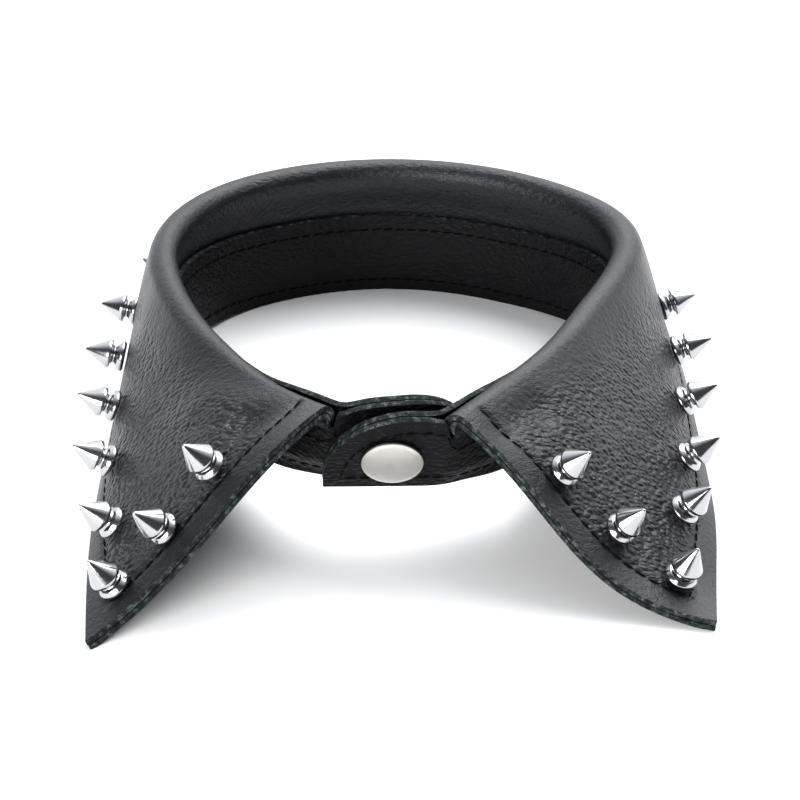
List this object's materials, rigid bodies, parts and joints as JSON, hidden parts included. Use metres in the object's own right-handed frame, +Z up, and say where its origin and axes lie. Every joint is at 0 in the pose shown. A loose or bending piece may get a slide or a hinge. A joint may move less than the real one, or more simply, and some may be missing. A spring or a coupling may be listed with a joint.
{
  "type": "shirt collar",
  "caption": "Detachable pointed shirt collar in black leather, edged with screw-on metal cone spikes and closed at the front by one snap fastener, which holds an overlapping tab.",
  "frame": {"origin": "middle of the whole footprint, on the surface that the collar stands on", "axes": "+Z up, along the wearer's neck; -Y towards the front, where the snap and the two points are; +X towards the wearer's left"},
  "size_m": [0.1686, 0.1974, 0.042],
  "materials": {
    "black_leather": "satin",
    "satin_nickel": "satin",
    "chrome": "polished"
  },
  "bodies": {
    "root": {"leaf_top_ply": "black_leather", "leaf_under_ply": "black_leather", "band_inner_ply": "black_leather", "band_outer_ply": "black_leather", "snap_cap": "satin_nickel", "snap_socket": "satin_nickel", "snap_stud": "satin_nickel", "snap_post": "satin_nickel", "spike_01": "chrome", "spike_02": "chrome", "spike_03": "chrome", "spike_04": "chrome", "spike_05": "chrome", "spike_06": "chrome", "spike_07": "chrome", "spike_08": "chrome", "spike_09": "chrome", "spike_10": "chrome", "spike_11": "chrome", "spike_12": "chrome", "spike_13": "chrome", "spike_14": "chrome", "spike_15": "chrome", "spike_16": "chrome", "spike_17": "chrome", "spike_18": "chrome", "spike_19": "chrome", "spike_20": "chrome", "spike_21": "chrome", "spike_22": "chrome", "spike_23": "chrome", "screw_01": "chrome", "screw_02": "chrome", "screw_03": "chrome", "screw_04": "chrome", "screw_05": "chrome", "screw_06": "chrome", "screw_07": "chrome", "screw_08": "chrome", "screw_09": "chrome", "screw_10": "chrome", "screw_11": "chrome", "screw_12": "chrome", "screw_13": "chrome", "screw_14": "chrome", "screw_15": "chrome", "screw_16": "chrome", "screw_17": "chrome", "screw_18": "chrome", "screw_19": "chrome", "screw_20": "chrome", "screw_21": "chrome", "screw_22": "chrome", "screw_23": "chrome"}
  },
  "joints": []
}
